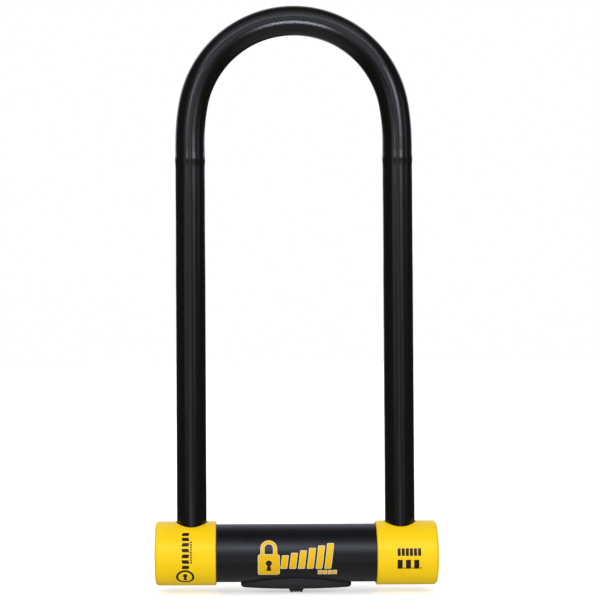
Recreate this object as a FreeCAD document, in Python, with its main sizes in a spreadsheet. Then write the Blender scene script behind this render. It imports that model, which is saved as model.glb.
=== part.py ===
import FreeCAD, Part
import os
from math import cos, pi, sin

import Sketcher
from FreeCAD import Placement, Rotation, Vector

# A bicycle U lock: a bent shackle rod whose two notched feet drop into a crossbar.  A key turns a
# scroll cam in the middle of the crossbar, and the cam drives one bolt into the notch of each foot.
# X runs along the crossbar, Z up along the shackle legs; the origin is the centre of the crossbar.

DISC_COUNT = 7
RIB_COUNT = 4
SPIRAL_STEPS = 12

DRIVING = {
    # shackle
    "leg_spacing": 132.4,
    "rod_diameter": 18.0,
    "rod_jacket_wall": 0.5,
    "arch_height": 340.0,
    "arch_inset": 1.2,
    "foot_depth": 9.4,
    "foot_chamfer": 1.5,
    "jacket_foot_height": 11.5,
    "notch_gap": 0.5,
    # crossbar tube and its jacket
    "tube_diameter": 34.0,
    "tube_wall": 3.0,
    "bar_jacket_wall": 1.3,
    # end caps
    "cap_wall": 3.2,
    "cap_inboard": 15.6,
    "cap_outboard": 23.5,
    "cap_end_wall": 3.7,
    "cap_lap": 3.4,
    "cap_dome": 0.7,
    "cap_outer_round": 2.2,
    "cap_inner_round": 0.9,
    "cap_hole_gap": 0.7,
    # what guides the feet
    "foot_gap": 0.3,
    "bush_wall": 2.2,
    "bush_height": 11.0,
    "buffer_thickness": 1.4,
    "buffer_radius": 6.9,
    "seal_wall": 1.1,
    # end plugs
    "plug_length": 6.9,
    "roll_pin_radius": 1.5,
    # bolts and cam
    "bolt_width": 9.0,
    "bolt_height": 6.0,
    "bolt_floor": 3.0,
    "bolt_throw": 5.5,
    "bolt_tip_gap": 0.3,
    "bolt_chamfer": 0.8,
    "bolt_heel": 2.4,
    "channel_gap": 0.25,
    "drive_pin_radius": 1.25,
    "drive_pin_start": 4.9,
    "drive_pin_gap": 0.25,
    "drive_pin_grip": 4.0,
    "cam_radius": 12.6,
    "cam_thickness": 2.2,
    "cam_lift": 0.2,
    "cam_gap": 0.4,
    "block_half_length": 24.0,
    # lock cylinder
    "shell_radius": 8.95,
    "shell_lip": 1.0,
    "shell_inset": 1.7,
    "shell_port_radius": 5.0,
    "barrel_radius": 6.95,
    "barrel_running_gap": 0.08,
    "barrel_front_wall": 1.4,
    "barrel_bore_radius": 5.6,
    "tail_plate": 2.0,
    "tail_spigot": 0.6,
    "tail_side": 4.2,
    "keyway_width": 2.6,
    "keyway_length": 7.6,
    "drill_plate_thickness": 1.2,
    "spacer_thickness": 0.5,
    "sidebar_width": 1.8,
    "sidebar_depth": 1.9,
    "retaining_pin_radius": 1.0,
    "cam_screw_head": 2.2,
    # keyhole cover and its shutter
    "cover_half_length": 35.1,
    "cover_half_width": 10.8,
    "cover_tip_radius": 4.0,
    "cover_height": 4.4,
    "cover_crown": 1.3,
    "cover_round": 2.0,
    "gasket_thickness": 1.1,
    "gasket_inset": 0.7,
    "shutter_travel": 14.5,
    "shutter_half_length": 7.0,
    "shutter_half_width": 6.0,
    "shutter_thickness": 1.4,
    "shutter_gap": 0.15,
    "thumb_half_length": 4.5,
    "thumb_half_width": 3.9,
    "thumb_rise": 1.7,
    "rib_depth": 0.5,
    "screw_x": 28.0,
    "screw_shank_radius": 1.2,
    "screw_head_radius": 2.3,
    "screw_head_height": 1.1,
    "screw_sink": 0.2,
    # clearance of pieces pushed together, of a hole round a screw and of the port round the shell
    "slip": 0.05,
    "hole_gap": 0.2,
    "port_gap": 0.5,
    # how far a cutting tool runs past what it cuts
    "overrun": 1.0,
}

DERIVED = {
    "leg_x": "leg_spacing / 2",
    "rod_radius": "rod_diameter / 2",
    "leg_radius": "rod_radius + rod_jacket_wall",
    "arch_radius": "leg_x - arch_inset",
    "blend_radius": "2 * arch_radius",
    "leg_top": "arch_height - arch_radius"
    " - sqrt((blend_radius - arch_radius)^2 - (blend_radius - leg_x)^2)",
    "tube_radius": "tube_diameter / 2",
    "bore_radius": "tube_radius - tube_wall",
    "fill_radius": "bore_radius - slip",
    "bar_jacket_radius": "tube_radius + bar_jacket_wall",
    "cap_radius": "tube_radius + cap_wall",
    "cap_inner_x": "leg_x - cap_inboard",
    "cap_outer_x": "leg_x + cap_outboard",
    "tube_end_x": "cap_outer_x - cap_end_wall",
    "bar_jacket_end": "cap_inner_x + cap_lap",
    "foot_hole_radius": "rod_radius + foot_gap",
    "bush_radius": "foot_hole_radius + bush_wall",
    "seal_inner": "leg_radius + foot_gap",
    "seal_outer": "seal_inner + seal_wall",
    "roll_pin_x": "tube_end_x - plug_length / 2",
    "retaining_pin_z": "- bore_radius / 2 - retaining_pin_radius",
    "channel_floor": "bolt_floor - channel_gap",
    "channel_roof": "bolt_floor + bolt_height + channel_gap",
    "channel_half": "bolt_width / 2 + channel_gap",
    "bolt_tip": "leg_x - foot_hole_radius - bolt_tip_gap",
    "notch_floor": "bolt_tip + bolt_throw + notch_gap",
    "cam_top": "cam_lift + cam_thickness",
    "slot_half": "drive_pin_radius + drive_pin_gap",
    "key_face": "tube_radius - shell_inset",
    "barrel_face": "key_face - shell_lip - cam_lift",
    "stack_front": "barrel_face - barrel_front_wall",
    "stack_back": "tail_plate + tail_spigot",
    "disc_thickness": "(stack_front - stack_back - drill_plate_thickness"
    f" - {DISC_COUNT - 1} * spacer_thickness) / {DISC_COUNT}",
    "disc_radius": "barrel_bore_radius - slip",
    "shell_bore_radius": "barrel_radius + barrel_running_gap",
    "cover_base": "bar_jacket_radius",
    "cover_top": "cover_base + cover_height",
    "cover_rim": "cover_top - cover_crown",
    "gasket_top": "cover_base + gasket_thickness",
    "shutter_inner": "gasket_top + shutter_gap",
    "shutter_outer": "shutter_inner + shutter_thickness",
    "pocket_outer": "shutter_outer + 2 * shutter_gap",
}

doc = FreeCAD.newDocument("u_lock")
sheet = doc.addObject("Spreadsheet::Sheet", "sizes")
nodes = {}


def fill_sheet():
    """One row a size: its name in column A, and its value or formula, with an alias, in column B."""
    rows = list(DRIVING.items()) + [(name, "=" + formula) for name, formula in DERIVED.items()]
    for row, (name, content) in enumerate(rows, start=1):
        sheet.set(f"A{row}", name)
        sheet.set(f"B{row}", str(content))
        sheet.setAlias(f"B{row}", name)
    doc.recompute()


ALIASES = sorted(list(DRIVING) + list(DERIVED), key=len, reverse=True)


def bound(formula):
    """The formula with each size's name written as the sheet's own, as an expression needs it."""
    words = []
    for word in formula.replace("(", " ( ").replace(")", " ) ").split():
        words.append("sizes." + word if word in ALIASES else word)
    return " ".join(words)


def number(formula):
    """The formula's value for the sizes as they are now."""
    result = sheet.evalExpression(bound(formula))
    return float(getattr(result, "Value", result))


def drive(thing, prop, formula):
    thing.setExpression(prop, bound(formula))


def body(name):
    thing = doc.addObject("PartDesign::Body", name)
    thing.Label = name
    return thing


def keep(name, thing):
    """Make the object a sub-part of the lock under this name."""
    thing.Label = name
    nodes[name] = thing
    return thing


def sketch_on(owner, role, lift=None):
    """A sketch on one of the body's own origin planes, lifted along the plane's normal."""
    sketch = owner.newObject("Sketcher::SketchObject", owner.Name + "_sketch")
    plane = next(item for item in owner.Origin.OriginFeatures if item.Role == role)
    sketch.AttachmentSupport = (plane, [""])
    sketch.MapMode = "FlatFace"
    if lift is not None:
        sketch.AttachmentOffset = Placement(Vector(0, 0, number(lift)), Rotation())
        drive(sketch, "AttachmentOffset.Base.z", lift)
    return sketch


def dimension(sketch, kind, places, formula):
    """Add a driving dimension to the sketch and bind it to the formula."""
    index = sketch.addConstraint(Sketcher.Constraint(kind, *places, number(formula)))
    drive(sketch, f"Constraints[{index}]", formula)


def pin_point(sketch, geometry, point, across, up):
    """Hold a point of the geometry at a place measured from the sketch's origin."""
    dimension(sketch, "DistanceX", (-1, 1, geometry, point), across)
    dimension(sketch, "DistanceY", (-1, 1, geometry, point), up)


def circle(sketch, radius, across="0", up="0"):
    centre = Vector(number(across), number(up), 0)
    index = sketch.addGeometry(Part.Circle(centre, Vector(0, 0, 1), number(radius)))
    dimension(sketch, "Radius", (index,), radius)
    pin_point(sketch, index, 3, across, up)


def outline(sketch, corners):
    """A closed outline of straight lines through the corners, each corner held in place."""
    places = [Vector(number(across), number(up), 0) for across, up in corners]
    lines = []
    for start, end in zip(places, places[1:] + places[:1]):
        lines.append(sketch.addGeometry(Part.LineSegment(start, end)))
    for line, following in zip(lines, lines[1:] + lines[:1]):
        sketch.addConstraint(Sketcher.Constraint("Coincident", line, 2, following, 1))
    for line, (across, up) in zip(lines, corners):
        pin_point(sketch, line, 1, across, up)
    return lines


def rectangle(sketch, left, right, low, high):
    outline(sketch, [(left, low), (right, low), (right, high), (left, high)])


def pad(owner, sketch, length, reverse=False, both_ways=False):
    feature = owner.newObject("PartDesign::Pad", owner.Name + "_pad")
    feature.Profile = sketch
    drive(feature, "Length", length)
    feature.Reversed = reverse
    feature.SideType = "Symmetric" if both_ways else "One side"
    return feature


def pocket(owner, sketch, length, reverse=False, both_ways=False):
    feature = owner.newObject("PartDesign::Pocket", owner.Name + "_pocket")
    feature.Profile = sketch
    drive(feature, "Length", length)
    feature.Reversed = reverse
    feature.SideType = "Symmetric" if both_ways else "One side"
    return feature


def turn(owner, sketch, axis, angle=360):
    feature = owner.newObject("PartDesign::Revolution", owner.Name + "_turning")
    feature.Profile = sketch
    feature.ReferenceAxis = (sketch, [axis])
    feature.Angle = angle
    feature.Midplane = angle < 360
    return feature


def edges_where(feature, test):
    """The names of the feature's edges whose bounding box passes the test."""
    found = []
    for index, edge in enumerate(feature.Shape.Edges, start=1):
        if test(edge):
            found.append(f"Edge{index}")
    return found


def dress(owner, kind, size_property, feature, test, size):
    """A fillet or chamfer on the edges of the body's last feature that pass the test."""
    doc.recompute()
    dressing = owner.newObject(kind, owner.Name + "_edge")
    dressing.Base = (feature, edges_where(feature, test))
    drive(dressing, size_property, size)
    return dressing


def mirrored(name, source):
    """The left-hand twin of a right-hand sub-part."""
    twin = doc.addObject("Part::Mirroring", name)
    twin.Source = source
    twin.Normal = Vector(1, 0, 0)
    return keep(name, twin)


def round_bar(name, radius, axis_role, start, length, across="0", up="0", bore=None):
    """A round bar or tube standing on one origin plane of its own body."""
    owner = body(name)
    sketch = sketch_on(owner, axis_role, start)
    circle(sketch, radius, across, up)
    if bore is not None:
        circle(sketch, bore, across, up)
    pad(owner, sketch, length)
    return owner


def boolean(kind, name, base, tool):
    result = doc.addObject("Part::" + kind, name)
    result.Base = base
    result.Tool = tool
    return result


def cylinder(name, radius, height, place, rotation=Rotation()):
    """A Part cylinder whose foot is at the place, given as three formulas."""
    shape = doc.addObject("Part::Cylinder", name)
    drive(shape, "Radius", radius)
    drive(shape, "Height", height)
    shape.Placement = Placement(Vector(*[number(item) for item in place]), rotation)
    for letter, formula in zip("xyz", place):
        drive(shape, f"Placement.Base.{letter}", formula)
    return shape


def box(name, lows, highs):
    """A Part box between two corners, each given as three formulas."""
    shape = doc.addObject("Part::Box", name)
    for prop, low, high in zip(("Length", "Width", "Height"), lows, highs):
        drive(shape, prop, f"{high} - ( {low} )")
    for letter, low in zip("xyz", lows):
        drive(shape, f"Placement.Base.{letter}", low)
    return shape


ALONG_X = Rotation(Vector(0, 1, 0), 90)


# ---------------------------------------------------------------- shackle


def shackle_path(owner, foot):
    """The rod's centre line: a leg, a blend, the arch, a blend and the other leg, all tangent."""
    sketch = sketch_on(owner, "XZ_Plane")
    leg_x = number("leg_x")
    top = number("leg_top")
    low = number(foot)
    arch = number("arch_radius")
    blend = number("blend_radius")
    arch_centre = Vector(0, number("arch_height") - arch, 0)
    blend_centre = Vector(leg_x - blend, top, 0)
    join = arch_centre + (arch_centre - blend_centre).normalize() * arch
    twin_join = Vector(-join.x, join.y, 0)
    normal = Vector(0, 0, 1)

    def arc(centre, radius, start, end):
        angles = [Vector(1, 0, 0).getAngle(point - centre) for point in (start, end)]
        ring = Part.Circle(centre, normal, radius)
        return sketch.addGeometry(Part.ArcOfCircle(ring, *angles))

    right_leg = sketch.addGeometry(Part.LineSegment(Vector(leg_x, low, 0), Vector(leg_x, top, 0)))
    right_blend = arc(blend_centre, blend, Vector(leg_x, top, 0), join)
    crown = arc(arch_centre, arch, join, twin_join)
    left_blend = arc(Vector(-blend_centre.x, top, 0), blend, twin_join, Vector(-leg_x, top, 0))
    left_leg = sketch.addGeometry(Part.LineSegment(Vector(-leg_x, top, 0), Vector(-leg_x, low, 0)))
    chain = [right_leg, right_blend, crown, left_blend, left_leg]
    for first, second in zip(chain, chain[1:]):
        sketch.addConstraint(Sketcher.Constraint("Tangent", first, 2, second, 1))
    pin_point(sketch, right_leg, 1, "leg_x", foot)
    sketch.addConstraint(Sketcher.Constraint("Vertical", right_leg))
    dimension(sketch, "DistanceY", (-1, 1, right_leg, 2), "leg_top")
    dimension(sketch, "Radius", (right_blend,), "blend_radius")
    dimension(sketch, "Radius", (crown,), "arch_radius")
    sketch.addConstraint(Sketcher.Constraint("PointOnObject", crown, 3, -2))
    dimension(sketch, "Radius", (left_blend,), "blend_radius")
    sketch.addConstraint(Sketcher.Constraint("Vertical", left_leg))
    pin_point(sketch, left_leg, 2, "- leg_x", foot)
    return sketch


def bent_rod(name, foot, radius, bore=None):
    owner = body(name)
    path = shackle_path(owner, foot)
    section = sketch_on(owner, "XY_Plane", foot)
    circle(section, radius, "leg_x")
    if bore is not None:
        circle(section, bore, "leg_x")
    pipe = owner.newObject("PartDesign::AdditivePipe", name + "_sweep")
    pipe.Profile = section
    pipe.Spine = (path, [f"Edge{index}" for index in range(1, 6)])
    return owner


def make_shackle():
    """The steel rod with its two milled notches and chamfered feet, and the vinyl jacket on it."""
    bar = bent_rod("shackle_bar", "- foot_depth", "rod_radius")
    notch = sketch_on(bar, "XZ_Plane")
    low = "bolt_floor - notch_gap"
    high = "bolt_floor + bolt_height + notch_gap"
    rectangle(notch, "leg_x - rod_diameter", "notch_floor", low, high)
    rectangle(notch, "- notch_floor", "rod_diameter - leg_x", low, high)
    cut = pocket(bar, notch, "rod_diameter * 1.2", both_ways=True)
    foot = number("- foot_depth")
    dress(
        bar,
        "PartDesign::Chamfer",
        "Size",
        cut,
        lambda edge: edge.BoundBox.ZMax < foot + 0.01,
        "foot_chamfer",
    )
    keep("shackle_bar", bar)
    jacket = bent_rod("shackle_jacket", "jacket_foot_height", "leg_radius", "rod_radius")
    keep("shackle_jacket", jacket)


# ---------------------------------------------------------------- crossbar


def make_tube():
    """The hardened tube: two leg holes on top, the cylinder's hole and two screw holes below."""
    tube = body("crossbar_tube")
    ring = sketch_on(tube, "YZ_Plane")
    circle(ring, "tube_radius")
    circle(ring, "bore_radius")
    pad(tube, ring, "2 * tube_end_x", both_ways=True)
    legs = sketch_on(tube, "XY_Plane")
    circle(legs, "seal_outer + slip", "leg_x")
    circle(legs, "seal_outer + slip", "- leg_x")
    pocket(tube, legs, "tube_radius + overrun", reverse=True)
    below = sketch_on(tube, "XY_Plane")
    circle(below, "shell_radius + port_gap / 2")
    circle(below, "screw_shank_radius", "screw_x")
    circle(below, "screw_shank_radius", "- screw_x")
    pocket(tube, below, "tube_radius + overrun")
    pins = sketch_on(tube, "XZ_Plane")
    circle(pins, "roll_pin_radius", "roll_pin_x")
    circle(pins, "roll_pin_radius", "- roll_pin_x")
    pocket(tube, pins, "2 * tube_radius + overrun", both_ways=True)
    keep("crossbar_tube", tube)


def make_bar_jacket():
    jacket = body("crossbar_jacket")
    ring = sketch_on(jacket, "YZ_Plane")
    circle(ring, "bar_jacket_radius")
    circle(ring, "tube_radius")
    pad(jacket, ring, "2 * bar_jacket_end", both_ways=True)
    below = sketch_on(jacket, "XY_Plane")
    circle(below, "shell_radius + port_gap")
    circle(below, "screw_shank_radius + hole_gap", "screw_x")
    circle(below, "screw_shank_radius + hole_gap", "- screw_x")
    pocket(jacket, below, "bar_jacket_radius + overrun")
    keep("crossbar_jacket", jacket)


def make_end_caps():
    """A moulded cup over each end, with a slightly domed end and rounded rims."""
    cap = body("end_cap_right")
    sketch = sketch_on(cap, "XZ_Plane")
    corners = [
        ("cap_inner_x", "cap_radius"),
        ("cap_inner_x", "bar_jacket_radius + slip"),
        ("bar_jacket_end + slip", "bar_jacket_radius + slip"),
        ("bar_jacket_end + slip", "tube_radius + slip"),
        ("tube_end_x + slip", "tube_radius + slip"),
        ("tube_end_x + slip", "0"),
        ("cap_outer_x", "0"),
        ("cap_outer_x - cap_dome", "cap_radius"),
    ]
    places = [Vector(number(across), number(up), 0) for across, up in corners]
    lines = [
        sketch.addGeometry(Part.LineSegment(start, end)) for start, end in zip(places[:6], places[1:7])
    ]
    rim = number("cap_radius")
    dome = number("cap_dome")
    sphere = (rim * rim + dome * dome) / (2 * dome)
    centre = Vector(places[6].x - sphere, 0, 0)
    ring = Part.Circle(centre, Vector(0, 0, 1), sphere)
    tilt = Vector(1, 0, 0).getAngle(places[7] - centre)
    face = sketch.addGeometry(Part.ArcOfCircle(ring, 0, tilt))
    top = sketch.addGeometry(Part.LineSegment(places[7], places[0]))
    for first, second in zip(lines, lines[1:]):
        sketch.addConstraint(Sketcher.Constraint("Coincident", first, 2, second, 1))
    sketch.addConstraint(Sketcher.Constraint("Coincident", lines[-1], 2, face, 1))
    sketch.addConstraint(Sketcher.Constraint("Coincident", face, 2, top, 1))
    sketch.addConstraint(Sketcher.Constraint("Coincident", top, 2, lines[0], 1))
    sketch.addConstraint(Sketcher.Constraint("PointOnObject", face, 3, -1))
    for line, (across, up) in zip(lines + [top], corners[:6] + corners[7:]):
        pin_point(sketch, line, 1, across, up)
    dimension(sketch, "DistanceX", (-1, 1, face, 1), "cap_outer_x")
    dimension(sketch, "DistanceY", (-1, 1, face, 1), "0")
    cup = turn(cap, sketch, "H_Axis")
    inner_x = number("cap_inner_x")
    rim_x = number("cap_outer_x - cap_dome")

    def at(edge, x_place):
        bounds = edge.BoundBox
        return abs(bounds.XMin - x_place) < 0.01 and bounds.XLength < 0.01 and bounds.ZMax > rim - 0.1

    outer = dress(
        cap, "PartDesign::Fillet", "Radius", cup, lambda edge: at(edge, rim_x), "cap_outer_round"
    )
    dress(
        cap, "PartDesign::Fillet", "Radius", outer, lambda edge: at(edge, inner_x), "cap_inner_round"
    )
    hole = sketch_on(cap, "XY_Plane")
    circle(hole, "leg_radius + cap_hole_gap", "leg_x")
    pocket(cap, hole, "cap_radius + overrun", reverse=True)
    keep("end_cap_right", cap)
    mirrored("end_cap_left", cap)


def make_foot_guides():
    """For each foot: the bush it drops into, the buffer under it and the seal round its jacket."""
    bush = body("bush_blank")
    blank = sketch_on(bush, "XY_Plane", "- bore_radius")
    circle(blank, "bush_radius", "leg_x")
    pad(bush, blank, "bore_radius + bush_height")
    foot_hole = sketch_on(bush, "XY_Plane", "- foot_depth - foot_gap")
    circle(foot_hole, "foot_hole_radius", "leg_x")
    pocket(bush, foot_hole, "2 * bore_radius", reverse=True)
    seat = sketch_on(bush, "XY_Plane", "- foot_depth - foot_gap")
    circle(seat, "buffer_radius + slip", "leg_x")
    pocket(bush, seat, "buffer_thickness")
    passage = sketch_on(bush, "YZ_Plane", "leg_x")
    rectangle(passage, "- channel_half", "channel_half", "channel_floor", "channel_roof")
    pocket(bush, passage, "bush_radius + overrun")
    start = ("leg_x - bush_radius - overrun", "0", "0")
    drum = cylinder("bush_drum", "fill_radius", "2 * ( bush_radius + overrun )", start, ALONG_X)
    fitted = keep("foot_bush_right", boolean("Common", "foot_bush_right", bush, drum))
    mirrored("foot_bush_left", fitted)

    floor = "- foot_depth - foot_gap - buffer_thickness"
    size = "buffer_thickness"
    buffer = round_bar("foot_buffer_right", "buffer_radius", "XY_Plane", floor, size, "leg_x")
    keep("foot_buffer_right", buffer)
    mirrored("foot_buffer_left", buffer)

    ring = round_bar(
        "seal_blank", "seal_outer", "XY_Plane", "bush_height", "tube_radius", "leg_x", "0", "seal_inner"
    )
    trim = cylinder(
        "seal_drum",
        "tube_radius - slip",
        "2 * ( seal_outer + overrun )",
        ("leg_x - seal_outer - overrun", "0", "0"),
        ALONG_X,
    )
    seal = keep("leg_seal_right", boolean("Common", "leg_seal_right", ring, trim))
    mirrored("leg_seal_left", seal)


def make_end_plugs():
    plug = body("end_plug_right")
    disc = sketch_on(plug, "YZ_Plane", "tube_end_x - plug_length")
    circle(disc, "fill_radius")
    pad(plug, disc, "plug_length - slip")
    cross = sketch_on(plug, "XZ_Plane")
    circle(cross, "roll_pin_radius", "roll_pin_x")
    pocket(plug, cross, "2 * tube_radius", both_ways=True)
    keep("end_plug_right", plug)
    mirrored("end_plug_left", plug)
    pins = []
    for side, place in (("right", "roll_pin_x"), ("left", "- roll_pin_x")):
        pin = body("roll_pin_" + side)
        section = sketch_on(pin, "XZ_Plane")
        circle(section, "roll_pin_radius", place)
        pad(pin, section, "2 * ( tube_radius - hole_gap / 2 )", both_ways=True)
        pins.append(pin)
    group("plug_pins", pins)


def group(name, members):
    """Several alike solids in one sub-part."""
    together = doc.addObject("Part::Compound", name)
    together.Links = members
    return keep(name, together)


# ---------------------------------------------------------------- lock block and bolts


def make_block():
    """The cast carrier in two halves: cylinder seat and cam pocket below, bolt channel above."""
    lower = body("lock_block_lower")
    half_disc(lower, below=True)
    seat = sketch_on(lower, "XY_Plane")
    circle(seat, "shell_radius + slip")
    pocket(lower, seat, "bore_radius + overrun")
    cam_pocket = sketch_on(lower, "XY_Plane")
    circle(cam_pocket, "cam_radius + cam_gap")
    pocket(lower, cam_pocket, "channel_floor + overrun", reverse=True)
    pin_hole = sketch_on(lower, "XZ_Plane")
    circle(pin_hole, "retaining_pin_radius", "shell_radius", "retaining_pin_z")
    pocket(lower, pin_hole, "2 * bore_radius", both_ways=True)
    keep("lock_block_lower", lower)

    upper = body("lock_block_upper")
    half_disc(upper, below=False)
    channel = sketch_on(upper, "YZ_Plane")
    rectangle(channel, "- channel_half", "channel_half", "0", "channel_roof")
    pocket(upper, channel, "2 * ( block_half_length + overrun )", both_ways=True)
    keep("lock_block_upper", upper)


def half_disc(owner, below):
    """The part of a round filling piece that lies on one side of the bolt channel's floor."""
    section = sketch_on(owner, "YZ_Plane")
    circle(section, "fill_radius")
    pad(owner, section, "2 * block_half_length", both_ways=True)
    trim = sketch_on(owner, "YZ_Plane")
    wide = "bore_radius + overrun"
    if below:
        rectangle(trim, f"- ( {wide} )", wide, "channel_floor", wide)
    else:
        rectangle(trim, f"- ( {wide} )", wide, f"- ( {wide} )", "channel_floor")
    pocket(owner, trim, "2 * ( block_half_length + overrun )", both_ways=True)


def make_bolt_guides():
    guide = body("bolt_guide_right")
    section = sketch_on(guide, "YZ_Plane", "block_half_length + slip")
    circle(section, "fill_radius")
    rectangle(section, "- channel_half", "channel_half", "channel_floor", "channel_roof")
    pad(guide, section, "leg_x - bush_radius - block_half_length - 2 * slip")
    keep("bolt_guide_right", guide)
    mirrored("bolt_guide_left", guide)


def make_bolts():
    """A flat bolt for each foot, with the round drive pin that runs in the cam's slot."""
    bolt = body("bolt_right")
    section = sketch_on(bolt, "YZ_Plane", "drive_pin_start - bolt_heel")
    top = "bolt_floor + bolt_height"
    rectangle(section, "- bolt_width / 2", "bolt_width / 2", "bolt_floor", top)
    bar = pad(bolt, section, "bolt_tip - drive_pin_start + bolt_heel")
    tip = number("bolt_tip")
    dress(
        bolt,
        "PartDesign::Chamfer",
        "Size",
        bar,
        lambda edge: edge.BoundBox.XMin > tip - 0.01,
        "bolt_chamfer",
    )
    hole = sketch_on(bolt, "XY_Plane", "bolt_floor")
    circle(hole, "drive_pin_radius", "drive_pin_start")
    pocket(bolt, hole, "drive_pin_grip", reverse=True)
    keep("bolt_right", bolt)
    mirrored("bolt_left", bolt)
    foot = "cam_lift + drive_pin_gap"
    pin = round_bar(
        "drive_pin_right",
        "drive_pin_radius",
        "XY_Plane",
        foot,
        "bolt_floor + drive_pin_grip - cam_lift - drive_pin_gap",
        "drive_pin_start",
    )
    keep("drive_pin_right", pin)
    mirrored("drive_pin_left", pin)


def spiral_slot(name, heading):
    """The room swept by a drive pin, in the cam: its centre line is an Archimedean spiral, whose
    distance from the axis grows evenly from the pin's start by the bolt's throw in a quarter turn."""
    start = number("drive_pin_start")
    throw = number("bolt_throw")
    half = number("slot_half")
    quarter = pi / 2

    def centre(turned):
        reach = start + throw * turned / quarter
        return Vector(reach * cos(heading - turned), reach * sin(heading - turned), 0)

    def edge(turned, side):
        step = 1e-4
        along = centre(turned + step) - centre(turned - step)
        across = Vector(-along.y, along.x, 0).normalize()
        return centre(turned) + across * half * side

    def round_end(turned, outward):
        along = (centre(turned + 1e-4) - centre(turned - 1e-4)).normalize()
        tip = centre(turned) + along * half * outward
        return Part.Arc(edge(turned, 1), tip, edge(turned, -1)).toShape()

    turns = [quarter * step / SPIRAL_STEPS for step in range(SPIRAL_STEPS + 1)]
    sides = []
    for side in (1, -1):
        curve = Part.BSplineCurve()
        curve.interpolate([edge(turned, side) for turned in turns])
        sides.append(curve.toShape())
    loop = Part.Wire(Part.__sortEdges__(sides + [round_end(0, -1), round_end(quarter, 1)]))
    slot = doc.addObject("Part::Feature", name)
    slot.Shape = Part.Face(loop).extrude(Vector(0, 0, number("cam_thickness + 2 * overrun")))
    slot.Placement = Placement(Vector(0, 0, number("cam_lift - overrun")), Rotation())
    return slot


def make_cam():
    """A disc with two spiral slots, each moving its drive pin out evenly over a quarter turn."""
    disc = body("cam_disc")
    section = sketch_on(disc, "XY_Plane", "cam_lift")
    circle(section, "cam_radius")
    half = "tail_side / 2 + slip"
    rectangle(section, "- ( tail_side / 2 + slip )", half, "- ( tail_side / 2 + slip )", half)
    pad(disc, section, "cam_thickness")
    cam = disc
    for index, heading in enumerate((0, pi)):
        cam = boolean("Cut", f"cam_cut_{index}", cam, spiral_slot(f"slot_{index}", heading))
    keep("drive_cam", cam)


# ---------------------------------------------------------------- lock cylinder


def make_cylinder():
    """The shell, the turning barrel with its disc pack and sidebar, and the tail into the cam."""
    shell = body("cylinder_shell")
    outer = sketch_on(shell, "XY_Plane", "- key_face")
    circle(outer, "shell_radius")
    pad(shell, outer, "key_face - cam_lift")
    port = sketch_on(shell, "XY_Plane", "- key_face + shell_lip")
    circle(port, "shell_port_radius")
    pocket(shell, port, "shell_lip + overrun")
    bore = sketch_on(shell, "XY_Plane", "- key_face + shell_lip")
    circle(bore, "shell_bore_radius")
    pocket(shell, bore, "key_face + overrun", reverse=True)
    groove = sketch_on(shell, "XY_Plane", "- stack_front")
    half = "sidebar_width / 2 + slip"
    deep = "- barrel_radius - sidebar_depth / 2"
    rectangle(groove, f"- ( {half} )", half, deep, "- barrel_radius + overrun")
    pocket(shell, groove, "stack_front - stack_back", reverse=True)
    pin_groove = sketch_on(shell, "XZ_Plane")
    circle(pin_groove, "retaining_pin_radius", "shell_radius", "retaining_pin_z")
    pocket(shell, pin_groove, "2 * bore_radius", both_ways=True)
    keep("cylinder_shell", shell)

    pin = body("retaining_pin")
    section = sketch_on(pin, "XZ_Plane")
    circle(section, "retaining_pin_radius", "shell_radius", "retaining_pin_z")
    pad(pin, section, "1.5 * bore_radius", both_ways=True)
    keep("retaining_pin", pin)

    barrel = body("key_barrel")
    drum = sketch_on(barrel, "XY_Plane", "- barrel_face")
    circle(drum, "barrel_radius")
    pad(barrel, drum, "barrel_face - tail_plate")
    pack_bore = sketch_on(barrel, "XY_Plane", "- stack_front")
    circle(pack_bore, "barrel_bore_radius")
    pocket(barrel, pack_bore, "stack_front", reverse=True)
    keyway = sketch_on(barrel, "XY_Plane", "- stack_front")
    keyway_slot(keyway)
    pocket(barrel, keyway, "barrel_front_wall + overrun")
    window = sketch_on(barrel, "XY_Plane", "- stack_front + drill_plate_thickness")
    half = "sidebar_width / 2 + slip"
    outside = "- barrel_radius - overrun"
    rectangle(window, outside, "- barrel_bore_radius / 2", f"- ( {half} )", half)
    pocket(barrel, window, "stack_front - drill_plate_thickness - stack_back", reverse=True)
    keep("key_barrel", barrel)

    tail = body("barrel_tail")
    spigot = sketch_on(tail, "XY_Plane", "- stack_back")
    circle(spigot, "disc_radius")
    pad(tail, spigot, "tail_spigot + tail_plate")
    plate = sketch_on(tail, "XY_Plane", "- tail_plate")
    circle(plate, "barrel_radius")
    pad(tail, plate, "tail_plate")
    square = sketch_on(tail, "XY_Plane")
    side = "tail_side / 2"
    rectangle(square, "- tail_side / 2", side, "- tail_side / 2", side)
    pad(tail, square, "cam_top")
    tap = sketch_on(tail, "XY_Plane", "cam_top")
    circle(tap, "retaining_pin_radius")
    pocket(tail, tap, "cam_top")
    keep("barrel_tail", tail)

    screw = body("cam_screw")
    shank = sketch_on(screw, "XY_Plane", "slip")
    circle(shank, "retaining_pin_radius")
    pad(screw, shank, "cam_top - slip")
    head = sketch_on(screw, "XY_Plane", "cam_top")
    circle(head, "cam_screw_head")
    pad(screw, head, "retaining_pin_radius")
    keep("cam_screw", screw)


def keyway_slot(sketch):
    length = "keyway_length / 2"
    width = "keyway_width / 2"
    rectangle(sketch, "- keyway_length / 2", length, "- keyway_width / 2", width)


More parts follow.
